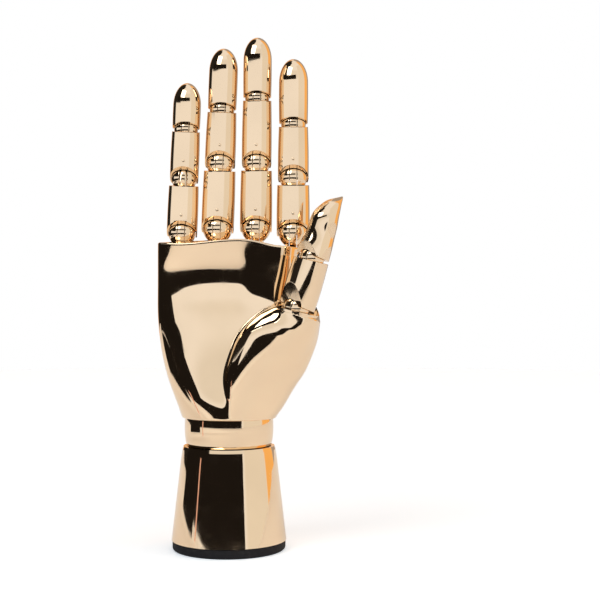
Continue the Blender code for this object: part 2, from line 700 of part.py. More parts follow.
def add_wrist(palm):
    """The barrel-sided ball, with the link, pin and bolt that hold the palm to the forearm."""
    wrist = new_empty("wrist", (WRIST_X, 0, WRIST_Z))
    socket = sphere_mesh("palm_wrist_socket", NECK_BALL + SOCKET_GAP, WIDE_TURN_STEPS, WIDE_TURN_STEPS // 2)
    cut(palm, add_object(socket.name, socket, parent=wrist))

    belt = math.asin(NECK_RADIUS / NECK_BALL)
    profile = arc(NECK_BALL, 0, belt, WIDE_ARC_STEPS)
    profile += arc(NECK_BALL, math.pi - belt, math.pi, WIDE_ARC_STEPS)
    neck = add_turned("wrist_neck", profile, plated("wrist_neck"), wrist, steps=WIDE_TURN_STEPS)
    half = NECK_SLOT_WIDTH / 2
    low = (-half, -NECK_SLOT_HALF, -NECK_SLOT_DEPTH)
    slot = box_mesh("neck_slot", low, (half, NECK_SLOT_HALF, NECK_BALL + PAST))
    cut(neck, add_object("neck_slot", slot, parent=wrist))
    gap = WRIST_PIN_HALF + SEAT_GAP
    pin_hole = cylinder_mesh("neck_pin_hole", WRIST_PIN_RADIUS + AXLE_GAP, -gap, gap, "X", PIN_STEPS)
    cut(neck, add_object("neck_pin_hole", pin_hole, parent=wrist))
    high = PAST - NECK_SLOT_DEPTH
    bolt_hole = cylinder_mesh("neck_bolt_hole", BOLT_RADIUS + SEAT_GAP, -NECK_BALL - PAST, high)
    cut(neck, add_object("neck_bolt_hole", bolt_hole, parent=wrist))

    pin = cylinder_mesh("wrist_pin", WRIST_PIN_RADIUS, -WRIST_PIN_HALF, WRIST_PIN_HALF, "X", PIN_STEPS)
    add_object("wrist_pin", pin, steel("wrist_pin"), wrist)

    half = WRIST_EYE_THICKNESS / 2
    eye = cylinder_mesh("wrist_link", WRIST_EYE_RADIUS, -half, half, "X", TURN_STEPS)
    link = add_object("wrist_link", eye, steel("wrist_link"), wrist)
    top = NECK_BALL + WRIST_SHANK_LENGTH
    shank = cylinder_mesh("wrist_link_shank", WRIST_SHANK_RADIUS, WRIST_EYE_RADIUS * SHANK_ROOT, top)
    join(link, add_object("wrist_link_shank", shank, parent=wrist))
    hole = cylinder_mesh("wrist_link_hole", WRIST_PIN_RADIUS + AXLE_GAP, -2 * half, 2 * half, "X", PIN_STEPS)
    cut(link, add_object("wrist_link_hole", hole, parent=wrist))
    bore = cylinder_mesh("palm_link_bore", WRIST_SHANK_RADIUS + SEAT_GAP, NECK_BALL - PAST, top + SEAT_GAP)
    cut(palm, add_object("palm_link_bore", bore, parent=wrist))


def add_bolt(floor):
    """The hammer-headed bolt whose head lies on the slot's floor, with its nut and spring."""
    low = Vector((-BOLT_HEAD.x / 2, -BOLT_HEAD.y / 2, floor + SEAT_GAP))
    head = box_mesh("wrist_bolt", low, low + BOLT_HEAD)
    place = Matrix.Translation((WRIST_X, 0, 0))
    bolt = add_object("wrist_bolt", head, steel("wrist_bolt"), place=place)
    shank = cylinder_mesh("wrist_bolt_shank", BOLT_RADIUS, BOLT_END, floor + BOLT_HEAD.z / 2)
    join(bolt, add_object("wrist_bolt_shank", shank, place=place))

    hexagon = cylinder_mesh("wrist_nut", NUT_RADIUS, NUT_BOTTOM, NUT_TOP - FLANGE_THICKNESS / 2, sides=6)
    nut = add_object("wrist_nut", hexagon, steel("wrist_nut"), place=place)
    low = NUT_TOP - FLANGE_THICKNESS
    flange = cylinder_mesh("wrist_nut_flange", FLANGE_RADIUS, low, NUT_TOP, sides=TURN_STEPS)
    join(nut, add_object("wrist_nut_flange", flange, place=place))
    hole = cylinder_mesh("wrist_nut_hole", BOLT_RADIUS + SEAT_GAP, NUT_BOTTOM - PAST, NUT_TOP + PAST)
    cut(nut, add_object("wrist_nut_hole", hole, place=place))

    curve = bpy.data.curves.new("wrist_spring", "CURVE")
    curve.dimensions = "3D"
    curve.bevel_depth = SPRING_WIRE
    curve.bevel_resolution = 1
    curve.use_fill_caps = True
    spline = curve.splines.new("POLY")
    count = SPRING_TURNS * SPRING_POINTS
    spline.points.add(count)
    low = NUT_TOP + SEAT_GAP + SPRING_WIRE
    rise = COUNTERBORE_TOP - SEAT_GAP - SPRING_WIRE - low
    for i, point in enumerate(spline.points):
        angle = 2 * math.pi * i / SPRING_POINTS
        x = SPRING_RADIUS * math.cos(angle)
        y = SPRING_RADIUS * math.sin(angle)
        point.co = (x, y, low + rise * i / count, 1)
    add_object("wrist_spring", curve, steel("wrist_spring"), place=place)


def add_forearm():
    """The tapered base, hollow below for the nut and spring, and the pad that closes it."""
    bottom = PAD_HEIGHT + SEAT_GAP
    cup = NECK_BALL + SOCKET_GAP
    rim = math.acos((FOREARM_TOP_Z - WRIST_Z) / cup)
    profile = arc(cup, math.pi, rim, WIDE_ARC_STEPS, WRIST_Z)
    profile += [(FOREARM_TOP_RADIUS, FOREARM_TOP_Z)]
    profile += [(FOREARM_TOP_RADIUS + FOREARM_LIP, FOREARM_TOP_Z - FOREARM_LIP_HEIGHT)]
    profile += [(FOREARM_SHOULDER_RADIUS, FOREARM_SHOULDER_Z), (FOREARM_FOOT_RADIUS, bottom)]
    profile += [(COUNTERBORE_RADIUS, bottom), (COUNTERBORE_RADIUS, COUNTERBORE_TOP), (0, COUNTERBORE_TOP)]
    place = Matrix.Translation((WRIST_X, 0, 0))
    forearm = add_turned("forearm", profile, plated("forearm"), place=place, steps=WIDE_TURN_STEPS)
    low = COUNTERBORE_TOP - PAST
    high = WRIST_Z - NECK_BALL
    hole = cylinder_mesh("forearm_bolt_hole", BOLT_RADIUS + SEAT_GAP, low, high)
    cut(forearm, add_object("forearm_bolt_hole", hole, place=place))

    profile = [(0, PAD_HEIGHT), (PAD_RADIUS, PAD_HEIGHT), (PAD_RADIUS, PAD_ROUND)]
    profile += [(PAD_RADIUS - PAD_ROUND, 0), (0, 0)]
    add_turned("base_pad", profile, rubber("base_pad"), place=place, steps=WIDE_TURN_STEPS)


def build():
    thumb = new_empty("thumb_base", THUMB_BASE, thumb_frame())
    palm = add_palm(thumb)
    for finger, size in FINGERS.items():
        add_finger(finger, size, palm)
    add_thumb(thumb, palm)
    add_wrist(palm)
    add_bolt(WRIST_Z - NECK_SLOT_DEPTH)
    add_forearm()


build()
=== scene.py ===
import math
import bpy
import numpy as np
from mathutils import Matrix, Vector
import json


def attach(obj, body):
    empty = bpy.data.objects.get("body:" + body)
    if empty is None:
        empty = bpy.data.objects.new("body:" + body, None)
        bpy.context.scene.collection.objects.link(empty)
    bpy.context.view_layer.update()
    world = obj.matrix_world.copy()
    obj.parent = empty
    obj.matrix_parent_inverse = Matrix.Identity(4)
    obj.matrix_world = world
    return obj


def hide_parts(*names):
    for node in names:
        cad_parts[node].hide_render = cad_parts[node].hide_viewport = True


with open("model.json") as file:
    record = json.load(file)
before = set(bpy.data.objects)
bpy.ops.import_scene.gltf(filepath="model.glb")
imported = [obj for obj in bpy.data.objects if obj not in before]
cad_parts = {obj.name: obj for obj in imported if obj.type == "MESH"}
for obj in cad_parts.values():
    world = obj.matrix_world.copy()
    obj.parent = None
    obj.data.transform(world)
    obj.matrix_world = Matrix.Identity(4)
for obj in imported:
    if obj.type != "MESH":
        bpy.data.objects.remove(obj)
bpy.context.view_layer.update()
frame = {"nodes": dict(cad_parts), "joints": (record.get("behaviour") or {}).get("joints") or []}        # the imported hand: every piece below rides on one of its bodies

mm = 0.001
joints = {joint["name"]: joint for joint in frame["joints"]}


def freshSelection():
    bpy.ops.object.select_all(action="DESELECT")


def makeActive(piece):
    freshSelection()
    piece.select_set(True)
    bpy.context.view_layer.objects.active = piece


def applyModifiers(piece):
    makeActive(piece)
    for modifier in list(piece.modifiers):
        bpy.ops.object.modifier_apply(modifier=modifier.name)


def putAt(piece, place):
    makeActive(piece)
    piece.matrix_world = place
    bpy.ops.object.transform_apply(location=True, rotation=True, scale=True)
    return piece


def carve(piece, cutter, operation="DIFFERENCE"):
    boolean = piece.modifiers.new("carve", "BOOLEAN")
    boolean.operation = operation
    boolean.solver = "EXACT"
    boolean.object = cutter
    applyModifiers(piece)
    bpy.data.objects.remove(cutter)
    return piece


def bevelRims(piece, width, angle=34, segments=3):
    bevel = piece.modifiers.new("rims", "BEVEL")
    bevel.width = width
    bevel.segments = segments
    bevel.limit_method = "ANGLE"
    bevel.angle_limit = math.radians(angle)
    bevel.use_clamp_overlap = True
    applyModifiers(piece)


def smoothNormals(piece, angle=38):
    makeActive(piece)
    bpy.ops.object.shade_smooth_by_angle(angle=math.radians(angle))
    weighted = piece.modifiers.new("normals", "WEIGHTED_NORMAL")
    weighted.keep_sharp = True
    weighted.weight = 50
    applyModifiers(piece)


def rolledPiece(name, rings):
    rows, count = len(rings), len(rings[0])
    freshSelection()
    bpy.ops.mesh.primitive_grid_add(x_subdivisions=count, y_subdivisions=rows - 1, size=1)
    piece = bpy.context.object
    piece.name = name
    flat = np.zeros(len(piece.data.vertices) * 3)
    piece.data.vertices.foreach_get("co", flat)
    spots = flat.reshape(-1, 3)
    column = np.rint((spots[:, 0] + 0.5) * count).astype(int) % count
    row = np.rint((spots[:, 1] + 0.5) * (rows - 1)).astype(int)
    piece.data.vertices.foreach_set("co", np.array(rings, float)[row, column].ravel())
    bpy.ops.object.mode_set(mode="EDIT")
    bpy.ops.mesh.select_all(action="SELECT")
    bpy.ops.mesh.remove_doubles(threshold=0.002 * mm)
    bpy.ops.mesh.select_all(action="SELECT")
    bpy.ops.mesh.fill_holes(sides=0)
    bpy.ops.mesh.select_all(action="SELECT")
    bpy.ops.mesh.normals_make_consistent(inside=False)
    bpy.ops.object.mode_set(mode="OBJECT")
    return piece


def turnedRings(profile, sides=72):
    turn = np.arange(sides) * 2 * math.pi / sides
    return [np.stack([r * np.cos(turn), r * np.sin(turn), np.full(sides, z)], 1) for r, z in profile]


def barrel(lowRadius, highRadius, low, high, crown, steps=12):
    share = np.linspace(0, 1, steps + 1)
    radius = lowRadius + (highRadius - lowRadius) * share + crown * np.sin(math.pi * share)
    return list(zip(radius, low + (high - low) * share))


def cutFlat(piece, height, slope, keepAbove):
    makeActive(piece)
    bpy.ops.object.mode_set(mode="EDIT")
    bpy.ops.mesh.select_all(action="SELECT")
    normal = (0, -math.sin(slope), math.cos(slope))
    bpy.ops.mesh.bisect(plane_co=(0, 0, height), plane_no=normal, use_fill=True,
                        clear_inner=keepAbove, clear_outer=not keepAbove)
    bpy.ops.object.mode_set(mode="OBJECT")


def cutOutline(piece, spots, keepAbove):
    # The spots are (y, z) from front to back; what lies under or over them is cut away
    far = 16 * mm
    end = -far if keepAbove else 4 * far
    loop = [(-far, end)] + spots + [(far, end)]
    prism = rolledPiece("prism", [[(x, y, z) for y, z in loop] for x in (-far, far)])
    carve(piece, prism)


def lowerEnd(size):
    # Steep in front, a round ear at each side on the hinge, then nearly level at the back
    slope, middle, ear, back = size["frontSlope"], size["frontMiddle"], size["ear"], size["backHeight"]
    spots = [(y * mm, middle - slope * y * mm) for y in (-16, -12, -8, -4)]
    if ear:
        first = math.asin(-0.62)
        last = math.asin(min(back / ear, 0.9))
        spots += [(ear * math.cos(a), ear * math.sin(a)) for a in np.linspace(first, last, 9)]
    else:
        spots += [(0, back)]
    return spots + [(16 * mm, back - size["backSlope"] * 13 * mm)]


def ballAt(radius, height=0.0, segments=48, rings=24):
    freshSelection()
    bpy.ops.mesh.primitive_uv_sphere_add(segments=segments, ring_count=rings, radius=radius,
                                         location=(0, 0, height), rotation=(0, math.pi / 2, 0))
    made = bpy.context.object
    bpy.ops.object.transform_apply(location=True, rotation=True, scale=True)
    return made


def rodAt(radius, low, high, axis="Z", sides=32):
    freshSelection()
    middle = (low + high) / 2
    turns = {"X": (0, math.pi / 2, 0), "Y": (-math.pi / 2, 0, 0), "Z": (0, 0, 0)}
    spots = {"X": (middle, 0, 0), "Y": (0, middle, 0), "Z": (0, 0, middle)}
    bpy.ops.mesh.primitive_cylinder_add(vertices=sides, radius=radius, depth=high - low,
                                        location=spots[axis], rotation=turns[axis])
    made = bpy.context.object
    bpy.ops.object.transform_apply(location=True, rotation=True, scale=True)
    return made


def blockAt(low, high):
    freshSelection()
    low, high = Vector(low), Vector(high)
    bpy.ops.mesh.primitive_cube_add(size=1, location=(low + high) / 2, scale=high - low)
    made = bpy.context.object
    bpy.ops.object.transform_apply(location=True, rotation=True, scale=True)
    return made


def shown(piece, name, body, material, slot, *nodes):
    piece.name = name
    piece.data.name = name
    piece.data.materials.clear()
    piece.data.materials.append(material)
    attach(piece, body)
    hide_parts(*nodes)
    return piece


# Materials

def newGroup(name, inputs, outputs):
    group = bpy.data.node_groups.new(name, "ShaderNodeTree")
    for label, kind, value in inputs:
        socket = group.interface.new_socket(name=label, in_out="INPUT", socket_type=kind)
        socket.default_value = value
    for label, kind in outputs:
        group.interface.new_socket(name=label, in_out="OUTPUT", socket_type=kind)
    group.nodes.new("NodeGroupInput")
    group.nodes.new("NodeGroupOutput")
    return group


def addNode(tree, kind, settings=None, **values):
    node = tree.nodes.new(kind)
    for key, value in (settings or {}).items():
        setattr(node, key, value)
    for label, value in values.items():
        node.inputs[label.replace("_", " ")].default_value = value
    return node


def link(tree, source, output, target, entry):
    tree.links.new(source.outputs[output], target.inputs[entry])


def platingGroup():
    group = newGroup("platingFinish", [
        ("Colour", "NodeSocketColor", (0.94, 0.73, 0.50, 1)),
        ("Gloss", "NodeSocketFloat", 0.05),
        ("Waves", "NodeSocketFloat", 0.3),
    ], [("Colour", "NodeSocketColor"), ("Roughness", "NodeSocketFloat"), ("Normal", "NodeSocketVector")])
    entry = group.nodes["Group Input"]
    leave = group.nodes["Group Output"]
    place = addNode(group, "ShaderNodeTexCoord")

    tone = addNode(group, "ShaderNodeTexNoise", Scale=45.0, Detail=2.0)
    link(group, place, "Object", tone, "Vector")
    toneRange = addNode(group, "ShaderNodeMapRange", From_Min=0.3, From_Max=0.7, To_Min=0.96, To_Max=1.02)
    link(group, tone, "Fac", toneRange, "Value")
    tint = addNode(group, "ShaderNodeHueSaturation")
    link(group, entry, "Colour", tint, "Color")
    link(group, toneRange, "Result", tint, "Value")
    link(group, tint, "Color", leave, "Colour")

    smears = addNode(group, "ShaderNodeTexNoise", Scale=140.0, Detail=5.0, Roughness=0.6)
    link(group, place, "Object", smears, "Vector")
    smearRange = addNode(group, "ShaderNodeMapRange", From_Min=0.45, From_Max=0.75, To_Min=0.0, To_Max=0.05)
    link(group, smears, "Fac", smearRange, "Value")
    total = addNode(group, "ShaderNodeMath", {"operation": "ADD"})
    link(group, entry, "Gloss", total, 0)
    link(group, smearRange, "Result", total, 1)
    link(group, total, "Value", leave, "Roughness")

    waves = addNode(group, "ShaderNodeTexNoise", Scale=90.0, Detail=1.0)
    link(group, place, "Object", waves, "Vector")
    waveBump = addNode(group, "ShaderNodeBump", Distance=0.00006)
    link(group, entry, "Waves", waveBump, "Strength")
    link(group, waves, "Fac", waveBump, "Height")
    stretch = addNode(group, "ShaderNodeMapping", Scale=(2600, 2600, 160))
    link(group, place, "Object", stretch, "Vector")
    hairs = addNode(group, "ShaderNodeTexNoise", Scale=1.0, Detail=2.0)
    link(group, stretch, "Vector", hairs, "Vector")
    hairBump = addNode(group, "ShaderNodeBump", Strength=0.05, Distance=0.00001)
    link(group, hairs, "Fac", hairBump, "Height")
    link(group, waveBump, "Normal", hairBump, "Normal")
    link(group, hairBump, "Normal", leave, "Normal")
    return group


def satinGroup():
    group = newGroup("satinFinish", [
        ("Colour", "NodeSocketColor", (0.6, 0.6, 0.6, 1)),
        ("Gloss", "NodeSocketFloat", 0.3),
    ], [("Colour", "NodeSocketColor"), ("Roughness", "NodeSocketFloat"), ("Normal", "NodeSocketVector")])
    entry = group.nodes["Group Input"]
    leave = group.nodes["Group Output"]
    place = addNode(group, "ShaderNodeTexCoord")
    stretch = addNode(group, "ShaderNodeMapping", Scale=(400, 400, 5000))
    link(group, place, "Object", stretch, "Vector")
    lines = addNode(group, "ShaderNodeTexNoise", Scale=1.0, Detail=3.0)
    link(group, stretch, "Vector", lines, "Vector")
    lineRange = addNode(group, "ShaderNodeMapRange", From_Min=0.3, From_Max=0.7, To_Min=-0.05, To_Max=0.08)
    link(group, lines, "Fac", lineRange, "Value")
    total = addNode(group, "ShaderNodeMath", {"operation": "ADD"})
    link(group, entry, "Gloss", total, 0)
    link(group, lineRange, "Result", total, 1)
    link(group, total, "Value", leave, "Roughness")
    bump = addNode(group, "ShaderNodeBump", Strength=0.2, Distance=0.00002)
    link(group, lines, "Fac", bump, "Height")
    link(group, bump, "Normal", leave, "Normal")
    stains = addNode(group, "ShaderNodeTexNoise", Scale=120.0, Detail=3.0)
    link(group, place, "Object", stains, "Vector")
    stainRange = addNode(group, "ShaderNodeMapRange", From_Min=0.3, From_Max=0.7, To_Min=0.85, To_Max=1.05)
    link(group, stains, "Fac", stainRange, "Value")
    tint = addNode(group, "ShaderNodeHueSaturation")
    link(group, entry, "Colour", tint, "Color")
    link(group, stainRange, "Result", tint, "Value")
    link(group, tint, "Color", leave, "Colour")
    return group


def rubberGroup():
    group = newGroup("rubberFinish", [
        ("Colour", "NodeSocketColor", (0.02, 0.02, 0.022, 1)),
        ("Gloss", "NodeSocketFloat", 0.62),
    ], [("Colour", "NodeSocketColor"), ("Roughness", "NodeSocketFloat"), ("Normal", "NodeSocketVector")])
    entry = group.nodes["Group Input"]
    leave = group.nodes["Group Output"]
    place = addNode(group, "ShaderNodeTexCoord")
    grain = addNode(group, "ShaderNodeTexNoise", Scale=2600.0, Detail=2.0)
    link(group, place, "Object", grain, "Vector")
    bump = addNode(group, "ShaderNodeBump", Strength=0.35, Distance=0.00006)
    link(group, grain, "Fac", bump, "Height")
    link(group, bump, "Normal", leave, "Normal")
    dust = addNode(group, "ShaderNodeTexNoise", Scale=220.0, Detail=6.0, Roughness=0.7)
    link(group, place, "Object", dust, "Vector")
    dustRange = addNode(group, "ShaderNodeMapRange", From_Min=0.5, From_Max=0.8, To_Min=0.0, To_Max=0.05)
    link(group, dust, "Fac", dustRange, "Value")
    mix = addNode(group, "ShaderNodeMix", {"data_type": "RGBA"})
    mix.inputs[7].default_value = (0.4, 0.38, 0.36, 1)
    group.links.new(dustRange.outputs["Result"], mix.inputs[0])
    group.links.new(entry.outputs["Colour"], mix.inputs[6])
    group.links.new(mix.outputs[2], leave.inputs["Colour"])
    total = addNode(group, "ShaderNodeMath", {"operation": "ADD"})
    link(group, entry, "Gloss", total, 0)
    link(group, dustRange, "Result", total, 1)
    link(group, total, "Value", leave, "Roughness")
    return group


def finishMaterial(name, group, metallic, colour, **values):
    material = bpy.data.materials.new(name)
    material.use_nodes = True
    tree = material.node_tree
    shader = tree.nodes["Principled BSDF"]
    finish = tree.nodes.new("ShaderNodeGroup")
    finish.node_tree = group
    finish.inputs["Colour"].default_value = (*colour, 1)
    for label, value in values.items():
        finish.inputs[label].default_value = value
    shader.inputs["Metallic"].default_value = metallic
    link(tree, finish, "Colour", shader, "Base Color")
    link(tree, finish, "Roughness", shader, "Roughness")
    link(tree, finish, "Normal", shader, "Normal")
    return material


plating = platingGroup()
satin = satinGroup()
gold = (0.94, 0.73, 0.50)
mirrorGold = finishMaterial("mirrorGold", plating, 1.0, gold, Gloss=0.035, Waves=0.3)
fingerGold = finishMaterial("fingerGold", plating, 1.0, gold, Gloss=0.045, Waves=0.2)
linkGold = finishMaterial("linkGold", plating, 1.0, gold, Gloss=0.07, Waves=0.2)
satinSteel = finishMaterial("satinSteel", satin, 1.0, (0.6, 0.6, 0.6), Gloss=0.3)
blackRubber = finishMaterial("blackRubber", rubberGroup(), 0.0, (0.014, 0.014, 0.017), Gloss=0.75)
blackRubber.node_tree.nodes["Principled BSDF"].inputs["Specular IOR Level"].default_value = 0.25
print("materials made")


# Joint frames: X is the hinge, Y the back of the hand, Z along the finger

def columns(across, back, along, origin):
    made = Matrix((across, back, along)).transposed().to_4x4()
    made.translation = origin
    return made


def fingerFrame(jointName):
    joint = joints[jointName]
    across = Vector(joint["axis"]).normalized()
    along = across.cross(Vector((0, 1, 0))).normalized()
    return columns(across, along.cross(across), along, Vector(joint["pos_m"]))


fits = {
    "socketGap": 0.4 * mm,
    "slotHalf": 2.0 * mm,
    "eyeHalf": 1.72 * mm,
    "axle": 1.0 * mm,
    "tenonHalf": 1.6 * mm,
    "tenonLength": 3.6 * mm,
    "mortiseGap": 0.3 * mm,
    "spreadRoom": 2.8 * mm,
    "rim": 0.32 * mm,
    "slotRim": 0.14 * mm,
    "shank": 1.9 * mm,
    "shankLength": 4.6 * mm,
}


def tenonWidth(radius):
    return fits["slotHalf"] + radius / 4


def slottedBall(radius, place):
    ball = ballAt(radius)
    half = fits["tenonHalf"]
    width = tenonWidth(radius)
    tenon = blockAt((-width, -half, -radius - fits["tenonLength"]), (width, half, -radius * 0.7))
    carve(ball, tenon, "UNION")
    carve(ball, rodAt(radius + 0.25 * mm, -fits["slotHalf"], fits["slotHalf"], "X", 64))
    bevelRims(ball, fits["slotRim"], 40, 2)
    carve(ball, rodAt(fits["axle"], -radius * 0.8, radius * 0.8, "X", 24), "UNION")
    smoothNormals(ball)
    return putAt(ball, place)


def eyeLink(radius, place):
    eye = ballAt(radius - 0.06 * mm)
    half = fits["eyeHalf"]
    for side in (-1, 1):
        makeActive(eye)
        bpy.ops.object.mode_set(mode="EDIT")
        bpy.ops.mesh.select_all(action="SELECT")
        bpy.ops.mesh.bisect(plane_co=(side * half, 0, 0), plane_no=(side, 0, 0), use_fill=True,
                            clear_outer=True)
        bpy.ops.object.mode_set(mode="OBJECT")
    bevelRims(eye, fits["slotRim"], 50, 2)
    carve(eye, rodAt(fits["axle"] + 0.35 * mm, -4 * mm, 4 * mm, "X", 24))
    tail = rodAt(fits["shank"], radius * 0.6, radius + fits["shankLength"], "Z", 24)
    carve(eye, tail, "UNION")
    smoothNormals(eye)
    return putAt(eye, place)


def phalanx(size, place):
    # A barrel-sided segment with a socket at both ends, arched below and with a shallow smile above
    low = -size["lowerEnd"]["ear"]
    profile = barrel(size["low"], size["high"], low, size["length"], size["crown"], 14)
    piece = rolledPiece("phalanx", turnedRings(profile))
    cutOutline(piece, lowerEnd(size["lowerEnd"]), True)
    top = size["length"] - size["smile"]
    slope = size["smileSlope"]
    cutOutline(piece, [(-16 * mm, top - slope * 16 * mm), (0, top), (16 * mm, top + size["backRise"])], False)
    carve(piece, ballAt(size["lowBall"] + fits["socketGap"]))
    carve(piece, ballAt(size["highBall"] + fits["socketGap"], size["length"]))
    bevelRims(piece, fits["rim"])
    smoothNormals(piece)
    return putAt(piece, place)


def fingertip(size, place):
    # A bullet-shaped tip over the last socket
    turn = np.linspace(0, math.pi / 2, 15)
    dome = size["dome"] * size["radius"]
    top = [(max(size["radius"] * math.cos(a), 0.03 * mm), size["length"] - dome + dome * math.sin(a))
           for a in turn]
    profile = barrel(size["radius"] - 0.15 * mm, size["radius"], -1.0 * mm, size["length"] - dome, 0.1 * mm)
    piece = rolledPiece("fingertip", turnedRings(profile[:-1] + top))
    cutOutline(piece, lowerEnd(size["lowerEnd"]), True)
    carve(piece, ballAt(size["ball"] + fits["socketGap"]))
    bevelRims(piece, fits["rim"])
    smoothNormals(piece)
    return putAt(piece, place)


def brad(radius, height, place):
    pin = rodAt(0.75 * mm, -radius - 0.05 * mm, 3.5 * mm, "Y", 24)
    bevelRims(pin, 0.25 * mm, 40, 3)
    smoothNormals(pin)
    pin.data.transform(Matrix.Translation((0, 0, height)))
    return putAt(pin, place)


fingers = {
    "little": {"lengths": (26.8, 24.0, 22.8), "radii": (7.6, 7.1, 6.75), "balls": (6.6, 6.2, 5.8)},
    "ring": {"lengths": (32.1, 26.2, 30.2), "radii": (8.1, 7.6, 7.0), "balls": (7.1, 6.6, 6.0)},
    "middle": {"lengths": (32.0, 31.7, 29.8), "radii": (8.0, 7.4, 6.9), "balls": (7.1, 6.5, 5.9)},
    "index": {"lengths": (26.9, 26.0, 32.1), "radii": (8.2, 7.7, 7.1), "balls": (7.2, 6.7, 6.0)},
}
cuts = {"smile": 3.6 * mm, "smileSlope": 0.12, "backRise": 2.0 * mm,
        "tipSmile": 1.0 * mm, "tipSmileSlope": 0.17, "tipBackRise": 0.0}
ends = {
    "knuckle": {"frontMiddle": 0.2 * mm, "frontSlope": 0.74, "ear": 2.6 * mm,
                "backHeight": 1.2 * mm, "backSlope": 0.12},
    "middle": {"frontMiddle": -0.1 * mm, "frontSlope": 0.78, "ear": 3.1 * mm,
               "backHeight": 1.2 * mm, "backSlope": 0.12},
    "tip": {"frontMiddle": 0.6 * mm, "frontSlope": 0.34, "ear": 0.0,
            "backHeight": 0.6 * mm, "backSlope": 0.0},
}

for finger, size in fingers.items():
    lengths = [value * mm for value in size["lengths"]]
    radii = [value * mm for value in size["radii"]]
    balls = [value * mm for value in size["balls"]]
    knuckle = fingerFrame(finger + "_knuckle_bend")
    middle = fingerFrame(finger + "_middle_bend")
    tip = fingerFrame(finger + "_tip_bend")
    lower = {"low": radii[0] - 0.2 * mm, "high": radii[1], "length": lengths[0], "crown": 0.2 * mm,
             "lowerEnd": ends["knuckle"], "smile": cuts["smile"], "smileSlope": cuts["smileSlope"],
             "backRise": cuts["backRise"], "lowBall": balls[0], "highBall": balls[1]}
    upper = {"low": radii[1] - 0.2 * mm, "high": radii[2], "length": lengths[1], "crown": 0.2 * mm,
             "lowerEnd": ends["middle"], "smile": cuts["tipSmile"], "smileSlope": cuts["tipSmileSlope"],
             "backRise": cuts["tipBackRise"], "lowBall": balls[1], "highBall": balls[2]}
    end = {"radius": radii[2], "length": lengths[2], "dome": 1.6, "lowerEnd": ends["tip"], "ball": balls[2]}
    bodies = [finger + "_proximal", finger + "_intermediate", finger + "_distal"]
    shown(phalanx(lower, knuckle), finger + "_lower_segment", bodies[0], fingerGold, "plated_gold", bodies[0])
    shown(phalanx(upper, middle), finger + "_upper_segment", bodies[1], fingerGold, "plated_gold", bodies[1])
    shown(fingertip(end, tip), finger + "_fingertip", bodies[2], fingerGold, "plated_gold", bodies[2])
    stages = (("knuckle", knuckle, finger + "_knuckle", bodies[0]), ("middle", middle, bodies[0], bodies[1]),
              ("tip", tip, bodies[1], bodies[2]))
    for i, (stage, place, ballBody, linkBody) in enumerate(stages):
        ballName = f"{finger}_{stage}_ball"
        linkName = f"{finger}_{stage}_link"
        shown(slottedBall(balls[i], place), ballName + "_slotted", ballBody, fingerGold, "plated_gold",
              ballName)
        shown(eyeLink(balls[i], place), linkName + "_eye", linkBody, linkGold, "plated_link", linkName)
    for i, place, node in ((0, knuckle, bodies[0]), (1, middle, bodies[1])):
        height = balls[i] + fits["socketGap"] + 1.35 * mm
        shown(brad(radii[i], height, place), node + "_brad_head", node, linkGold, "plated_link",
              node + "_brad")
    print(finger, "finger made")


# Thumb

thumbSpread = Vector(joints["thumb_spread"]["axis"]).normalized()
thumbAcross = -Vector(joints["thumb_base_bend"]["axis"]).normalized()
thumbAlong = thumbAcross.cross(thumbSpread).normalized()
thumbFrame = columns(thumbAcross, thumbAlong.cross(thumbAcross), thumbAlong,
                     Vector(joints["thumb_base_bend"]["pos_m"]))
thumbTipFrame = thumbFrame.copy()
thumbTipFrame.translation = Vector(joints["thumb_tip_bend"]["pos_m"])

thumb = {
    "low": 8.6 * mm, "high": 8.4 * mm, "length": 25.0 * mm, "crown": 0.3 * mm,
    "baseBall": 6.4 * mm, "tipBall": 6.0 * mm,
    "cut": 0.9 * mm, "slope": math.radians(4), "tipCut": 1.05 * mm,
    "notch": -9.3 * mm, "notchSlope": math.radians(66.8),
    "tipNotch": -7.1 * mm, "tipNotchSlope": math.radians(62.8),
    "notchRound": 0.5 * mm,
    "heights": (-1.0, 6.9, 13.4, 18.0, 21.4, 26.5, 29.7, 31.4, 32.9),
    "pad": (8.3, 7.3, 6.2, 6.0, 5.4, 2.0, -1.6, -5.0, -7.9),
    "nail": (8.3, 8.3, 8.1, 7.8, 7.3, 7.2, 7.5, 8.0, 8.4),
    "half": (8.3, 7.7, 6.9, 6.7, 6.3, 4.8, 3.2, 1.8, 0.3),
}


def splineThrough(spots, values):
    spots, values = np.array(spots, float), np.array(values, float)
    count = len(spots)
    gaps = np.diff(spots)
    matrix, right = np.eye(count), np.zeros(count)
    for i in range(1, count - 1):
        matrix[i, i - 1:i + 2] = gaps[i - 1], 2 * (gaps[i - 1] + gaps[i]), gaps[i]
        right[i] = 6 * ((values[i + 1] - values[i]) / gaps[i] - (values[i] - values[i - 1]) / gaps[i - 1])
    bend = np.linalg.solve(matrix, right)

    def at(place):
        place = np.clip(np.asarray(place, float), spots[0], spots[-1])
        i = np.clip(np.searchsorted(spots, place) - 1, 0, count - 2)
        gap = gaps[i]
        after, before = (place - spots[i]) / gap, (spots[i + 1] - place) / gap
        curve = (after ** 3 - after) * bend[i + 1] + (before ** 3 - before) * bend[i]
        return after * values[i + 1] + before * values[i] + curve * gap ** 2 / 6
    return at


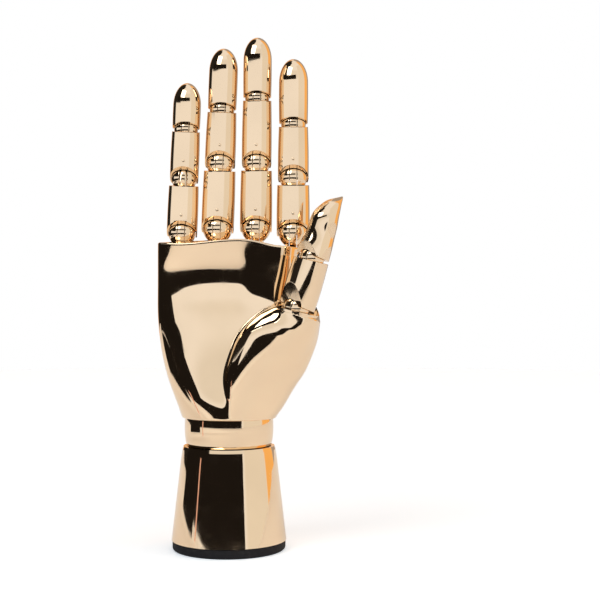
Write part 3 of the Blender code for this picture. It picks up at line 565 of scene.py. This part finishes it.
def thumbLowerPiece(size, place):
    profile = barrel(size["low"], size["high"], 0, size["length"], size["crown"], 20)
    piece = rolledPiece("thumb_lower", turnedRings(profile))
    cutFlat(piece, size["notch"], -size["notchSlope"], True)
    bevelRims(piece, size["notchRound"], 15, 6)
    cutFlat(piece, size["cut"], -size["slope"], True)
    cutFlat(piece, size["length"] - size["tipCut"], size["slope"], False)
    carve(piece, ballAt(size["baseBall"] + fits["socketGap"], 0, 64, 32))
    carve(piece, ballAt(size["tipBall"] + fits["socketGap"], size["length"], 64, 32))
    bevelRims(piece, fits["rim"])
    smoothNormals(piece)
    return putAt(piece, place)


def thumbTipPiece(size, place):
    curves = {part: splineThrough(size["heights"], size[part]) for part in ("pad", "nail", "half")}
    turn = np.arange(96) * 2 * math.pi / 96
    rings = []
    for height in np.linspace(size["heights"][0], size["heights"][-1], 56):
        pad, nail, half = (curves[part](height) for part in ("pad", "nail", "half"))
        middle, depth = (nail - pad) / 2, (nail + pad) / 2
        spots = [half * np.cos(turn), middle + depth * np.sin(turn), np.full(96, height)]
        rings.append(np.stack(spots, 1) * mm)
    piece = rolledPiece("thumb_tip", rings)
    cutFlat(piece, size["tipNotch"], -size["tipNotchSlope"], True)
    bevelRims(piece, size["notchRound"], 25, 6)
    cutFlat(piece, size["tipCut"], -size["slope"], True)
    carve(piece, ballAt(size["tipBall"] + fits["socketGap"], 0, 64, 32))
    bevelRims(piece, fits["rim"], 42)
    smoothNormals(piece, 50)
    return putAt(piece, place)


shown(thumbLowerPiece(thumb, thumbFrame), "thumb_lower_segment", "thumb_proximal", fingerGold, "plated_gold",
      "thumb_proximal")
shown(thumbTipPiece(thumb, thumbTipFrame), "thumb_tip_segment", "thumb_distal", fingerGold, "plated_gold",
      "thumb_distal")
for node, radius, place, ballBody, linkBody in (
        ("thumb_base", thumb["baseBall"], thumbFrame, "thumb_knuckle", "thumb_proximal"),
        ("thumb_tip", thumb["tipBall"], thumbTipFrame, "thumb_proximal", "thumb_distal")):
    shown(slottedBall(radius, place), node + "_ball_slotted", ballBody, fingerGold, "plated_gold",
          node + "_ball")
    shown(eyeLink(radius, place), node + "_link_eye", linkBody, linkGold, "plated_link", node + "_link")
print("thumb made")


# Palm: the flat of the hand and the thumb's lobe, run together with a soft crease

palm = {
    "heights": (65, 72.5, 81, 91, 103, 116, 126, 133.5, 141, 147, 152),
    "left": (-23.5, -26.2, -29.4, -32.2, -34.2, -35.2, -35.2, -35.1, -35.0, -34.9, -34.8),
    "right": (22.8, 25.6, 28.2, 29.8, 30.4, 30.4, 30.4, 31.0, 32.8, 36.2, 38.6),
    "rightFront": (22.8, 25.6, 28.2, 29.8, 30.4, 30.4, 30.4, 31.0, 31.4, 31.8, 32.0),
    "back": (23.4, 23.0, 21.4, 18.8, 16.2, 14.2, 13.1, 12.4, 11.7, 11.0, 10.6),
    "square": (2.0, 2.1, 2.2, 2.3, 2.5, 2.8, 3.1, 3.4, 3.6, 3.6, 3.6),
    "frontHeights": (65, 72.5, 81, 91, 103, 116, 121, 124, 126.6, 128, 130, 133, 136.4, 138, 141, 147, 152),
    "front": (-23.4, -22.6, -20.2, -17.4, -15.0, -13.0, -12.2, -11.85, -11.65, -11.57, -11.5, -11.5, -11.66,
              -11.8, -12.11, -12.82, -13.44),
    "frontRight": (-23.4, -22.6, -20.2, -17.4, -15.0, -13.0, -12.43, -12.22, -12.13, -12.11, -12.1, -12.1,
                   -12.16, -12.22, -12.37, -12.65, -13.09),
    "blend": (4.0, 13.0),
    "topPlaces": (-34, -23.5, -6.1, 4, 12.7, 21, 30.9, 39),
    "top": (149.2, 148.6, 150.0, 150.6, 150.0, 148.0, 147.2, 146.2),
    "bottom": 65.2,
}
lobe = {
    "wallHeights": (62, 80, 88, 95, 102, 108, 113, 117, 120, 122, 124),
    "wallLeft": (-0.5, -2.4, -1.6, 0.6, 3.4, 7.2, 12.0, 17.5, 24.0, 29.0, 32.0),
    "wallRight": (46.0, 46.0, 46.0, 46.0, 46.0, 45.6, 44.6, 43.2, 41.0, 38.0, 35.0),
    "wallFront": (-27.0, -27.0, -27.1, -27.2, -27.2, -27.0, -25.6, -22.8, -18.4, -14.0, -10.0),
    "taperHeights": (62, 66.3, 72.7, 80, 86, 92.8, 102, 109.4, 122),
    "taperHalf": (20.0, 23.6, 27.9, 32.2, 36.2, 39.4, 42.6, 43.7, 43.8),
    "taperFront": (-23.0, -23.5, -24.8, -26.3, -27.4, -28.8, -31.6, -35.4, -46.0),
    "wallSquare": 4.0,
    "taperSquare": 2.0,
    "back": 10.0,
    "edge": 1.6,
    "crease": 1.5,
    "cupCrease": 3.0,
    "closing": 121.5,
}
cupBase = np.array(thumbFrame.translation) / mm
cupWay = np.array(thumbFrame.col[2][:3])
core = {"heights": (65, 117.5, 152), "x": (4.0, 19.6, 19.6), "y": -5.0}


def curvesOver(shape, heights, parts):
    return {part: splineThrough(shape[heights], shape[part]) for part in parts}


palmCurves = curvesOver(palm, "heights", ("left", "right", "rightFront", "back", "square"))
palmCurves.update(curvesOver(palm, "frontHeights", ("front", "frontRight")))
palmTop = splineThrough(palm["topPlaces"], palm["top"])
lobeCurves = curvesOver(lobe, "wallHeights", ("wallLeft", "wallRight", "wallFront"))
lobeCurves.update(curvesOver(lobe, "taperHeights", ("taperHalf", "taperFront")))


def sectionGap(x, y, left, right, front, back, square):
    across = np.abs((x - (left + right) / 2) / ((right - left) / 2))
    deep = np.abs((y - (front + back) / 2) / ((back - front) / 2))
    return ((across ** square + deep ** square) ** (1 / square) - 1) * (back - front) / 2


def softMin(first, second, soft):
    share = np.clip(0.5 + 0.5 * (second - first) / soft, 0, 1)
    return second * (1 - share) + first * share - soft * share * (1 - share)


def smoothStep(value, low, high):
    share = np.clip((value - low) / (high - low), 0, 1)
    return share * share * (3 - 2 * share)


def palmGap(x, y, z):
    left, right, rightFront, front, frontRight, back, square = (
        palmCurves[part](z)
        for part in ("left", "right", "rightFront", "front", "frontRight", "back", "square"))
    right = rightFront + smoothStep(y, -8, 3) * (right - rightFront)
    front = front + smoothStep(x, *palm["blend"]) * (frontRight - front)
    return sectionGap(x, y, left, right, front, back, square)


def lobeGap(x, y, z):
    left, right, wallFront, half, taperFront = (
        lobeCurves[part](z) for part in ("wallLeft", "wallRight", "wallFront", "taperHalf", "taperFront"))
    wall = sectionGap(x, y, left, right, wallFront, lobe["back"], lobe["wallSquare"])
    taper = sectionGap(x, y, -half, half, taperFront, lobe["back"], lobe["taperSquare"])
    return -softMin(-wall, -taper, lobe["edge"]) + 3 * np.maximum(z - lobe["closing"], 0)


def cupGap(x, y, z):
    # The thumb's cup as a body of the hand, kept below its rim
    spot = np.stack(np.broadcast_arrays(x, y, z), -1) - cupBase
    along = spot @ cupWay
    across = np.sqrt(np.maximum((spot ** 2).sum(-1) - along ** 2, 0))
    radius = np.interp(along, [-30, -24, -18, -14, -10, 0], [1, 6.6, 9.2, 10.4, 11.0, 11.0])
    return across - radius + 3 * np.maximum(along + 2.5, 0) + 3 * np.maximum(-29 - along, 0)


def handGap(x, y, z):
    hand = softMin(palmGap(x, y, z), lobeGap(x, y, z), lobe["crease"])
    return softMin(hand, cupGap(x, y, z), lobe["cupCrease"])


def outline(directionX, directionY, z):
    startX, startY = np.interp(z, core["heights"], core["x"]), np.full_like(z, core["y"])
    reach = np.linspace(0, 60, 241)
    spots = handGap(startX + reach[:, None] * directionX, startY + reach[:, None] * directionY, z)
    last = len(reach) - 1 - np.argmax((spots < 0)[::-1], axis=0)
    low, high = reach[last], reach[np.minimum(last + 1, len(reach) - 1)]
    for _ in range(26):
        middle = (low + high) / 2
        inside = handGap(startX + middle * directionX, startY + middle * directionY, z) < 0
        low, high = np.where(inside, middle, low), np.where(inside, high, middle)
    return startX + low * directionX, startY + low * directionY


def palmRings(sides=288, steps=150):
    turn = np.arange(sides) * 2 * math.pi / sides
    directionX, directionY = np.cos(turn) * 2.0, np.sin(turn)
    length = np.hypot(directionX, directionY)
    directionX, directionY = directionX / length, directionY / length
    top = np.full(sides, 150.0)
    for _ in range(4):
        x, y = outline(directionX, directionY, top)
        top = palmTop(x) - 0.4
    rings = []
    for share in np.linspace(0, 1, steps):
        z = palm["bottom"] + share * (top - palm["bottom"])
        x, y = outline(directionX, directionY, z)
        rings.append(np.stack([x, y, z], 1))
    return rings


def rolledEdge(ring, middle, lift, radius=0.7, steps=5):
    inward = middle - ring
    inward[:, 2] = 0
    inward /= np.linalg.norm(inward, axis=1)[:, None]
    made = []
    for i in range(1, steps + 1):
        angle = math.pi / 2 * i / steps
        made.append(ring + inward * radius * (1 - math.cos(angle)) + [0, 0, lift * radius * math.sin(angle)])
    return made


rings = palmRings()
spine = rings[-1] * [0.6, 0, 1] + [2.0, 0, 0]
topRoll = rolledEdge(rings[-1], spine, 1)
bottomRoll = rolledEdge(rings[0], rings[0] * [0, 0, 1], -1)
allRings = bottomRoll[::-1] + rings + topRoll
palmPiece = rolledPiece("palm_shell", [ring * mm for ring in allRings])

cup = {"radius": 11.0 * mm, "straight": 10.0 * mm, "toe": 6.6 * mm, "length": 30.0 * mm, "top": 2.0 * mm,
       "roomRadius": 11.6 * mm, "roomHeight": 9.0 * mm, "round": 0.5 * mm}
cupProfile = [(0.1 * mm, -cup["length"]), (cup["toe"] * 0.6, -cup["length"] + 1.6 * mm),
              (cup["toe"], -24 * mm), (9.2 * mm, -18 * mm), (10.4 * mm, -14 * mm),
              (cup["radius"], -cup["straight"]), (cup["radius"], -5 * mm), (cup["radius"], cup["top"])]
cupHeights = [z for r, z in cupProfile]
cupCurve = splineThrough(cupHeights, [r for r, z in cupProfile])
cupRings = turnedRings([(float(cupCurve(z)), z) for z in np.linspace(cupHeights[0], cup["top"], 50)], 96)
carve(palmPiece, putAt(rolledPiece("cup", cupRings), thumbFrame), "UNION")
room = rodAt(cup["roomRadius"], 0, cup["roomHeight"], "Z", 96)
tilt = Matrix.Translation((0, 0, -thumb["cut"])) @ Matrix.Rotation(thumb["slope"], 4, "X")
carve(palmPiece, putAt(room, thumbFrame @ tilt))
print("palm shell made")


def openSocket(radius, place):
    # Room in the palm for a ball, and below it for the tenon's swing
    carve(palmPiece, putAt(ballAt(radius + fits["socketGap"], 0, 64, 32), place))
    width = tenonWidth(radius) + fits["mortiseGap"] + fits["spreadRoom"]
    half = fits["tenonHalf"] + fits["mortiseGap"]
    depth = math.hypot(radius + fits["tenonLength"], tenonWidth(radius)) + fits["mortiseGap"]
    carve(palmPiece, putAt(blockAt((-width, -half, -depth), (width, half, -radius * 0.6)), place))


for finger, size in fingers.items():
    openSocket(size["balls"][0] * mm, fingerFrame(finger + "_knuckle_bend"))
openSocket(thumb["baseBall"], thumbFrame)

wrist = {"x": -0.4 * mm, "z": 59.5 * mm, "ball": 22.2 * mm, "belt": 21.3 * mm, "swell": 0.4 * mm,
         "slotHalf": 3.3 * mm, "slotReach": 14 * mm, "slotFloor": 12.5 * mm, "slotTop": 24 * mm}
wristPlace = Matrix.Translation((wrist["x"], 0, wrist["z"]))
carve(palmPiece, putAt(ballAt(wrist["ball"] + fits["socketGap"], 0, 128, 64), wristPlace))
smoothNormals(palmPiece, 40)
shown(palmPiece, "palm_shell", "palm", mirrorGold, "plated_gold", "palm")
print("palm made")


# Wrist and forearm

belt = math.asin(wrist["belt"] / wrist["ball"])
low = [(max(wrist["ball"] * math.sin(a), 0.05 * mm), -wrist["ball"] * math.cos(a))
       for a in np.linspace(0, belt, 20)]
edge = low[-1][1]
neckProfile = low + [(wrist["belt"] + wrist["swell"] * (1 - (z / edge) ** 2), z)
                     for z in np.linspace(edge, -edge, 17)[1:-1]]
neckProfile += [(r, -z) for r, z in low[::-1]]
neck = rolledPiece("neck", turnedRings(neckProfile, 128))
carve(neck, blockAt((-wrist["slotHalf"], -wrist["slotReach"], -wrist["slotFloor"]),
                    (wrist["slotHalf"], wrist["slotReach"], wrist["slotTop"])))
bevelRims(neck, 0.3 * mm, 20, 3)
smoothNormals(neck)
shown(putAt(neck, wristPlace), "neck_barrel", "neck", mirrorGold, "plated_gold", "wrist_neck")

forearm = {
    "foot": 28.0 * mm, "footZ": 4.8 * mm, "shoulder": 23.6 * mm, "shoulderZ": 43.5 * mm,
    "lip": 22.75 * mm, "lipZ": 48.9 * mm, "top": 22.3 * mm, "topZ": 50.5 * mm,
}
profile = [(0.1 * mm, forearm["footZ"]), (27.2 * mm, forearm["footZ"])]
profile += barrel(forearm["foot"], forearm["shoulder"], forearm["footZ"], forearm["shoulderZ"], 0.0, 10)
profile += [(forearm["lip"], forearm["lipZ"]), (forearm["top"], forearm["topZ"]),
            (21.0 * mm, forearm["topZ"]), (0.1 * mm, forearm["topZ"])]
base = rolledPiece("forearm", turnedRings(profile, 128))
carve(base, ballAt(wrist["ball"] + fits["socketGap"], wrist["z"], 128, 64))
bevelRims(base, 0.7 * mm, 5, 4)
smoothNormals(base)
footPlace = Matrix.Translation((wrist["x"], 0, 0))
shown(putAt(base, footPlace), "forearm_cone", "forearm", mirrorGold, "plated_gold", "forearm")

pad = {"radius": 27.6 * mm, "height": 4.6 * mm, "round": 0.9 * mm}
padProfile = [(0.1 * mm, 0), (pad["radius"] - pad["round"], 0), (pad["radius"], pad["round"]),
              (pad["radius"], pad["height"]), (0.1 * mm, pad["height"])]
padPiece = rolledPiece("pad", turnedRings(padProfile, 128))
bevelRims(padPiece, 0.4 * mm, 30, 3)
smoothNormals(padPiece)
shown(putAt(padPiece, footPlace), "pad_disc", "forearm", blackRubber, "rubber", "base_pad")

# The wrist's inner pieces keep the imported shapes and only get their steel
for node in ("wrist_pin", "wrist_link", "wrist_bolt", "wrist_spring", "wrist_nut"):
    inner = frame["nodes"][node]
    inner.data.materials.clear()
    inner.data.materials.append(satinSteel)
print("wrist and forearm made")


# Studio: white to the camera, a pale room with dark bands in the reflections

def studioWorld():
    world = bpy.data.worlds.new("studio")
    bpy.context.scene.world = world
    world.use_nodes = True
    tree = world.node_tree
    tree.nodes.clear()
    place = addNode(tree, "ShaderNodeTexCoord")
    split = addNode(tree, "ShaderNodeSeparateXYZ")
    link(tree, place, "Generated", split, "Vector")
    flip = addNode(tree, "ShaderNodeMath", {"operation": "MULTIPLY"})
    link(tree, split, "Y", flip, 0)
    flip.inputs[1].default_value = -1
    azimuth = addNode(tree, "ShaderNodeMath", {"operation": "ARCTAN2"})
    link(tree, split, "X", azimuth, 0)
    link(tree, flip, "Value", azimuth, 1)
    height = addNode(tree, "ShaderNodeMath", {"operation": "ARCSINE"})
    link(tree, split, "Z", height, 0)

    def window(source, low, high, soft):
        up = addNode(tree, "ShaderNodeMapRange", {"interpolation_type": "SMOOTHSTEP"})
        down = addNode(tree, "ShaderNodeMapRange", {"interpolation_type": "SMOOTHSTEP"})
        for node, edge, start, end in ((up, low, 0, 1), (down, high, 1, 0)):
            node.inputs["From Min"].default_value = math.radians(edge - soft)
            node.inputs["From Max"].default_value = math.radians(edge + soft)
            node.inputs["To Min"].default_value = start
            node.inputs["To Max"].default_value = end
            link(tree, source, "Value", node, "Value")
        both = addNode(tree, "ShaderNodeMath", {"operation": "MULTIPLY"})
        link(tree, up, "Result", both, 0)
        link(tree, down, "Result", both, 1)
        return both

    def patch(sides, levels, colour, below, soft=(1.0, 0.6), strength=1.0):
        across = window(azimuth, *sides, soft[0])
        upright = window(height, *levels, soft[1])
        both = addNode(tree, "ShaderNodeMath", {"operation": "MULTIPLY"})
        link(tree, across, "Value", both, 0)
        link(tree, upright, "Value", both, 1)
        scaled = addNode(tree, "ShaderNodeMath", {"operation": "MULTIPLY"})
        link(tree, both, "Value", scaled, 0)
        scaled.inputs[1].default_value = strength
        mix = addNode(tree, "ShaderNodeMix", {"data_type": "RGBA"})
        tree.links.new(scaled.outputs[0], mix.inputs[0])
        tree.links.new(below, mix.inputs[6])
        mix.inputs[7].default_value = (*colour, 1)
        return mix.outputs[2]

    base = addNode(tree, "ShaderNodeRGB")
    base.outputs[0].default_value = (0.93, 0.95, 1.0, 1)
    colour = base.outputs[0]
    for sides, levels, paint, soft in (
            ((-200, 200), (-95, -4), (0.80, 0.74, 0.66), (1.0, 3.0)),
            ((40, 98), (-5, 60), (0.84, 0.82, 0.78), (4.0, 3.0)),
            ((-50, 40), (16, 42), (0.82, 0.82, 0.82), (8.0, 5.0)),
            ((98, 134), (-30, 70), (1.0, 0.55, 0.18), (2.0, 8.0)),
            ((134, 181), (-30, 70), (0.42, 0.36, 0.32), (2.0, 8.0)),
            ((-181, -146), (-20, 60), (0.80, 0.45, 0.20), (6.0, 8.0)),
            ((-150, -100), (-10, 78), (0.02, 0.018, 0.016), (2.0, 3.0)),
            ((-104, -52), (14, 78), (0.02, 0.018, 0.016), (1.5, 1.0))):
        colour = patch(sides, levels, paint, colour, soft)
    background = addNode(tree, "ShaderNodeBackground", Strength=1.0)
    tree.links.new(colour, background.inputs["Color"])
    white = addNode(tree, "ShaderNodeBackground", Strength=1.0)
    white.inputs["Color"].default_value = (1, 1, 1, 1)
    rays = addNode(tree, "ShaderNodeLightPath")
    choose = addNode(tree, "ShaderNodeMixShader")
    link(tree, rays, "Is Camera Ray", choose, "Fac")
    tree.links.new(background.outputs[0], choose.inputs[1])
    tree.links.new(white.outputs[0], choose.inputs[2])
    end = addNode(tree, "ShaderNodeOutputWorld")
    link(tree, choose, "Shader", end, "Surface")


studioWorld()
freshSelection()
bpy.ops.mesh.primitive_circle_add(vertices=96, radius=1.6, fill_type="NGON", location=(0, 0, 0))
floor = bpy.context.object
floor.name = "floor"
floorPaint = bpy.data.materials.new("floorPaint")
floorPaint.use_nodes = True
floorShader = floorPaint.node_tree.nodes["Principled BSDF"]
floorShader.inputs["Base Color"].default_value = (0.93, 0.93, 0.93, 1)
floorShader.inputs["Roughness"].default_value = 0.9
floorShader.inputs["Specular IOR Level"].default_value = 0.1
floorShader.inputs["Emission Color"].default_value = (0.86, 0.94, 1, 1)
floorRays = addNode(floorPaint.node_tree, "ShaderNodeLightPath")
floorMirror = addNode(floorPaint.node_tree, "ShaderNodeMath", {"operation": "MULTIPLY"})
floorMirror.inputs[1].default_value = 0.22
link(floorPaint.node_tree, floorRays, "Is Glossy Ray", floorMirror, 0)
floorLift = addNode(floorPaint.node_tree, "ShaderNodeMath", {"operation": "MULTIPLY_ADD"})
floorLift.inputs[1].default_value = 0.5
link(floorPaint.node_tree, floorRays, "Is Camera Ray", floorLift, 0)
link(floorPaint.node_tree, floorMirror, "Value", floorLift, 2)
link(floorPaint.node_tree, floorLift, "Value", floorShader, "Emission Strength")
floor.data.materials.append(floorPaint)


def cardPaint(name, colour):
    paint = bpy.data.materials.new(name)
    paint.use_nodes = True
    tree = paint.node_tree
    tree.nodes.clear()
    glow = addNode(tree, "ShaderNodeEmission", Color=(*colour, 1), Strength=1.0)
    clear = addNode(tree, "ShaderNodeBsdfTransparent")
    rays = addNode(tree, "ShaderNodeLightPath")
    choose = addNode(tree, "ShaderNodeMixShader")
    link(tree, rays, "Is Camera Ray", choose, "Fac")
    tree.links.new(glow.outputs[0], choose.inputs[1])
    tree.links.new(clear.outputs[0], choose.inputs[2])
    end = addNode(tree, "ShaderNodeOutputMaterial")
    link(tree, choose, "Shader", end, "Surface")
    return paint


def card(name, radius, sides, heights, paint):
    freshSelection()
    bpy.ops.mesh.primitive_grid_add(x_subdivisions=48, y_subdivisions=1, size=1)
    piece = bpy.context.object
    piece.name = name
    for vertex in piece.data.vertices:
        turn = math.radians(sides[0] + (vertex.co.x + 0.5) * (sides[1] - sides[0]))
        height = heights[0] + (vertex.co.y + 0.5) * (heights[1] - heights[0])
        vertex.co = (radius * math.sin(turn), -radius * math.cos(turn), height)
    piece.data.materials.append(paint)


# What the plating mirrors besides the room: dark furniture in front and at the left, with a pink edge
darkCard = cardPaint("darkCard", (0.012, 0.010, 0.009))
card("low_wall", 1.0, (-118, 35), (0.010, 0.190), darkCard)
card("near_wall", 0.32, (-112, -46), (0.108, 0.168), darkCard)
card("low_front", 0.45, (-112, 35), (0.080, 0.142), darkCard)
card("low_left", 0.45, (-112, -75), (0.000, 0.060), darkCard)
card("pink_edge", 0.30, (-67.3, -64.6), (0.004, 0.078), cardPaint("pinkCard", (0.85, 0.50, 0.42)))
card("tip_strip", 0.35, (-86, 25), (0.316, 0.400), darkCard)

freshSelection()
bpy.ops.object.light_add(type="AREA", location=(-0.5, -0.6, 0.9))
key = bpy.context.object
key.name = "key"
key.data.size = 0.6
key.data.energy = 4
key.rotation_euler = (Vector((0, 0, 0.12)) - key.location).to_track_quat("-Z", "Y").to_euler()

cameraData = bpy.data.cameras.new("camera")
cameraData.lens = 73.5
cameraData.sensor_width = 36
camera = bpy.data.objects.new("camera", cameraData)
bpy.context.scene.collection.objects.link(camera)
camera.location = (0.0343, -0.6, 0.1216)
camera.rotation_euler = (math.pi / 2, 0, 0)
bpy.context.scene.camera = camera
bpy.context.scene.view_settings.view_transform = "Standard"

print("scene made")
